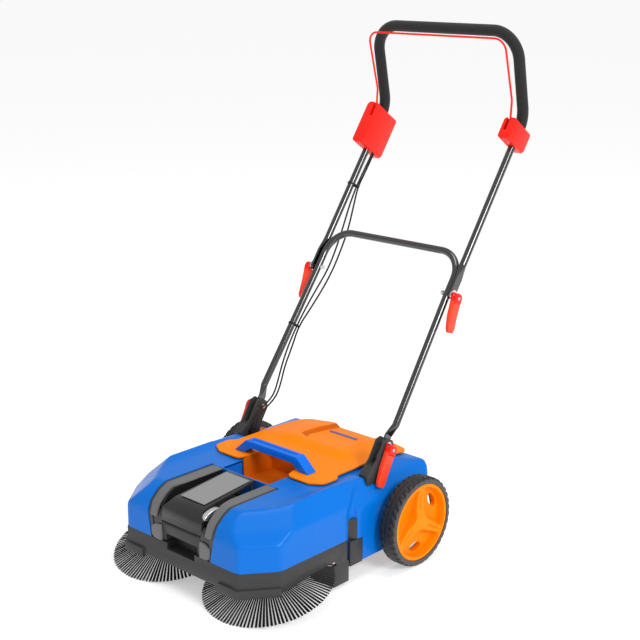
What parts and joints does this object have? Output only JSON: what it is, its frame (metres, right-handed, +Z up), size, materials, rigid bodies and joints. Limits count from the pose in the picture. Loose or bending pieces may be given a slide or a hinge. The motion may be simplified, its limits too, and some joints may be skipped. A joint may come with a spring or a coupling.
{
  "type": "push sweeper",
  "caption": "Battery-powered walk-behind floor sweeper with twin tilted side brushes, lift-out hopper, spoked wheels and a folding tube handle.",
  "frame": {"origin": "on the ground under the centre of the machine's outline, in its mid plane", "axes": "+Z up, -Y the driving direction, +X the operator's left"},
  "size_m": [0.542, 0.8871, 1.0857],
  "materials": {
    "black_plastic": "satin",
    "brass": "satin",
    "bristle_nylon": "satin",
    "cable_jacket": "satin",
    "circuit_board": "satin",
    "foam": "matte",
    "grey_plastic": "satin",
    "hood_blue": "gloss",
    "nylon_white": "satin",
    "orange_plastic": "satin",
    "red_plastic": "gloss",
    "silver_plastic": "satin",
    "steel": "satin",
    "tube_paint": "gloss",
    "tyre_rubber": "matte"
  },
  "bodies": {
    "chassis": {"floor_pan": "black_plastic", "hood_shell": "hood_blue", "side_skirts": "black_plastic", "battery_bay": "black_plastic", "bay_trim": "grey_plastic", "battery_pack": "black_plastic", "battery_dock": "black_plastic", "control_board": "circuit_board", "gearbox_base_left": "black_plastic", "gearbox_base_right": "black_plastic", "gearbox_cover_left": "black_plastic", "gearbox_cover_right": "black_plastic", "brush_motor_left": "steel", "brush_motor_right": "steel", "shaft_bushes": "brass", "handle_bracket_left": "black_plastic", "handle_bracket_right": "black_plastic", "case_screws": "steel", "stub_axles": "steel", "base_clamp_bolts": "steel", "cable_grommet": "cable_jacket", "cover_hinge_pin": "steel"},
    "hopper": {"hopper_bin": "orange_plastic", "hopper_lid": "orange_plastic", "carry_handle": "hood_blue", "lid_screws": "steel"},
    "cover": {"battery_cover": "black_plastic", "cover_plate": "grey_plastic"},
    "latch": {"cover_latch": "silver_plastic"},
    "wheel_left": {"tyre_left": "tyre_rubber", "rim_left": "orange_plastic", "hub_cap_left": "orange_plastic"},
    "wheel_right": {"tyre_right": "tyre_rubber", "rim_right": "orange_plastic", "hub_cap_right": "orange_plastic"},
    "brush_left": {"brush_disc_left": "black_plastic", "bristles_left": "bristle_nylon", "brush_gear_left": "nylon_white"},
    "brush_right": {"brush_disc_right": "black_plastic", "bristles_right": "bristle_nylon", "brush_gear_right": "nylon_white"},
    "pinion_left": {"motor_pinion_left": "nylon_white"},
    "pinion_right": {"motor_pinion_right": "nylon_white"},
    "lower_frame": {"lower_handle": "tube_paint", "switch_cables": "cable_jacket", "lower_cable_tie": "cable_jacket"},
    "upper_frame": {"upper_handle": "tube_paint", "foam_grip": "foam", "mid_clamp_bolts": "steel", "switch_box": "red_plastic", "switch_box_cover": "red_plastic", "micro_switch": "black_plastic", "bail_pivot_block": "red_plastic", "upper_cable_tie": "cable_jacket"},
    "base_cam_left": {"base_lever_left": "red_plastic"},
    "base_cam_right": {"base_lever_right": "red_plastic"},
    "mid_cam_left": {"mid_lever_left": "red_plastic"},
    "mid_cam_right": {"mid_lever_right": "red_plastic"},
    "bail_bar": {"bail": "red_plastic"},
    "start_button": {"lock_button": "red_plastic"}
  },
  "joints": [
    {"name": "wheel_left", "type": "hinge", "parent": "chassis", "child": "wheel_left", "pos_m": [0.247, 0.015, 0.096], "axis": [1, 0, 0], "continuous": true},
    {"name": "wheel_right", "type": "hinge", "parent": "chassis", "child": "wheel_right", "pos_m": [-0.247, 0.015, 0.096], "axis": [1, 0, 0], "continuous": true},
    {"name": "brush_left", "type": "hinge", "parent": "chassis", "child": "brush_left", "pos_m": [0.137, -0.307, 0.0313], "axis": [0, -0.2334, 0.9724], "continuous": true},
    {"name": "pinion_left", "type": "hinge", "parent": "chassis", "child": "pinion_left", "pos_m": [0.137, -0.28366, 0.0369], "axis": [0, -0.2334, 0.9724], "continuous": true},
    {"name": "brush_right", "type": "hinge", "parent": "chassis", "child": "brush_right", "pos_m": [-0.137, -0.307, 0.0313], "axis": [0, -0.2334, 0.9724], "continuous": true},
    {"name": "pinion_right", "type": "hinge", "parent": "chassis", "child": "pinion_right", "pos_m": [-0.137, -0.28366, 0.0369], "axis": [0, -0.2334, 0.9724], "continuous": true},
    {"name": "lower_handle_fold", "type": "hinge", "parent": "chassis", "child": "lower_frame", "pos_m": [0, -0.0145, 0.254], "axis": [-1, 0, 0], "range_deg": [-120, 0], "deforming": ["switch_cables"]},
    {"name": "upper_handle_fold", "type": "hinge", "parent": "lower_frame", "child": "upper_frame", "pos_m": [0, 0.18354, 0.53894], "axis": [-1, 0, 0], "range_deg": [0, 130], "deforming": ["switch_cables"]},
    {"name": "hopper_lift", "type": "slide", "parent": "chassis", "child": "hopper", "axis": [0, 0, 1], "range_m": [0, 0.25]},
    {"name": "battery_cover_hinge", "type": "hinge", "parent": "chassis", "child": "cover", "pos_m": [0, -0.251, 0.195], "axis": [-1, 0, 0], "range_deg": [0, 70]},
    {"name": "cover_latch_press", "type": "slide", "parent": "cover", "child": "latch", "axis": [-1, 0, 0], "range_m": [0, 0.003], "stiffness_N_per_m": 400},
    {"name": "base_cam_left", "type": "hinge", "parent": "chassis", "child": "base_cam_left", "pos_m": [0.202, -0.0145, 0.254], "axis": [0, -0.8827, 0.47], "range_deg": [0, 110]},
    {"name": "base_cam_right", "type": "hinge", "parent": "chassis", "child": "base_cam_right", "pos_m": [-0.202, -0.0145, 0.254], "axis": [0, 0.8827, -0.47], "range_deg": [0, 110]},
    {"name": "mid_cam_left", "type": "hinge", "parent": "upper_frame", "child": "mid_cam_left", "pos_m": [0.2082, 0.18354, 0.53894], "axis": [0, -0.9439, 0.3304], "range_deg": [0, 110]},
    {"name": "mid_cam_right", "type": "hinge", "parent": "upper_frame", "child": "mid_cam_right", "pos_m": [-0.2082, 0.18354, 0.53894], "axis": [0, 0.9439, -0.3304], "range_deg": [0, 110]},
    {"name": "bail_squeeze", "type": "hinge", "parent": "upper_frame", "child": "bail_bar", "pos_m": [0, 0.38291, 0.86435], "axis": [-1, 0, 0], "range_deg": [0, 5], "stiffness_Nm_per_rad": 4, "springref_deg": -8.59},
    {"name": "start_button_press", "type": "slide", "parent": "upper_frame", "child": "start_button", "axis": [1, 0, 0], "range_m": [0, 0.003], "stiffness_N_per_m": 500}
  ],
  "couplings": [
    {"joint": "pinion_left", "follows": "brush_left", "ratio": -3},
    {"joint": "pinion_right", "follows": "brush_right", "ratio": -3}
  ]
}
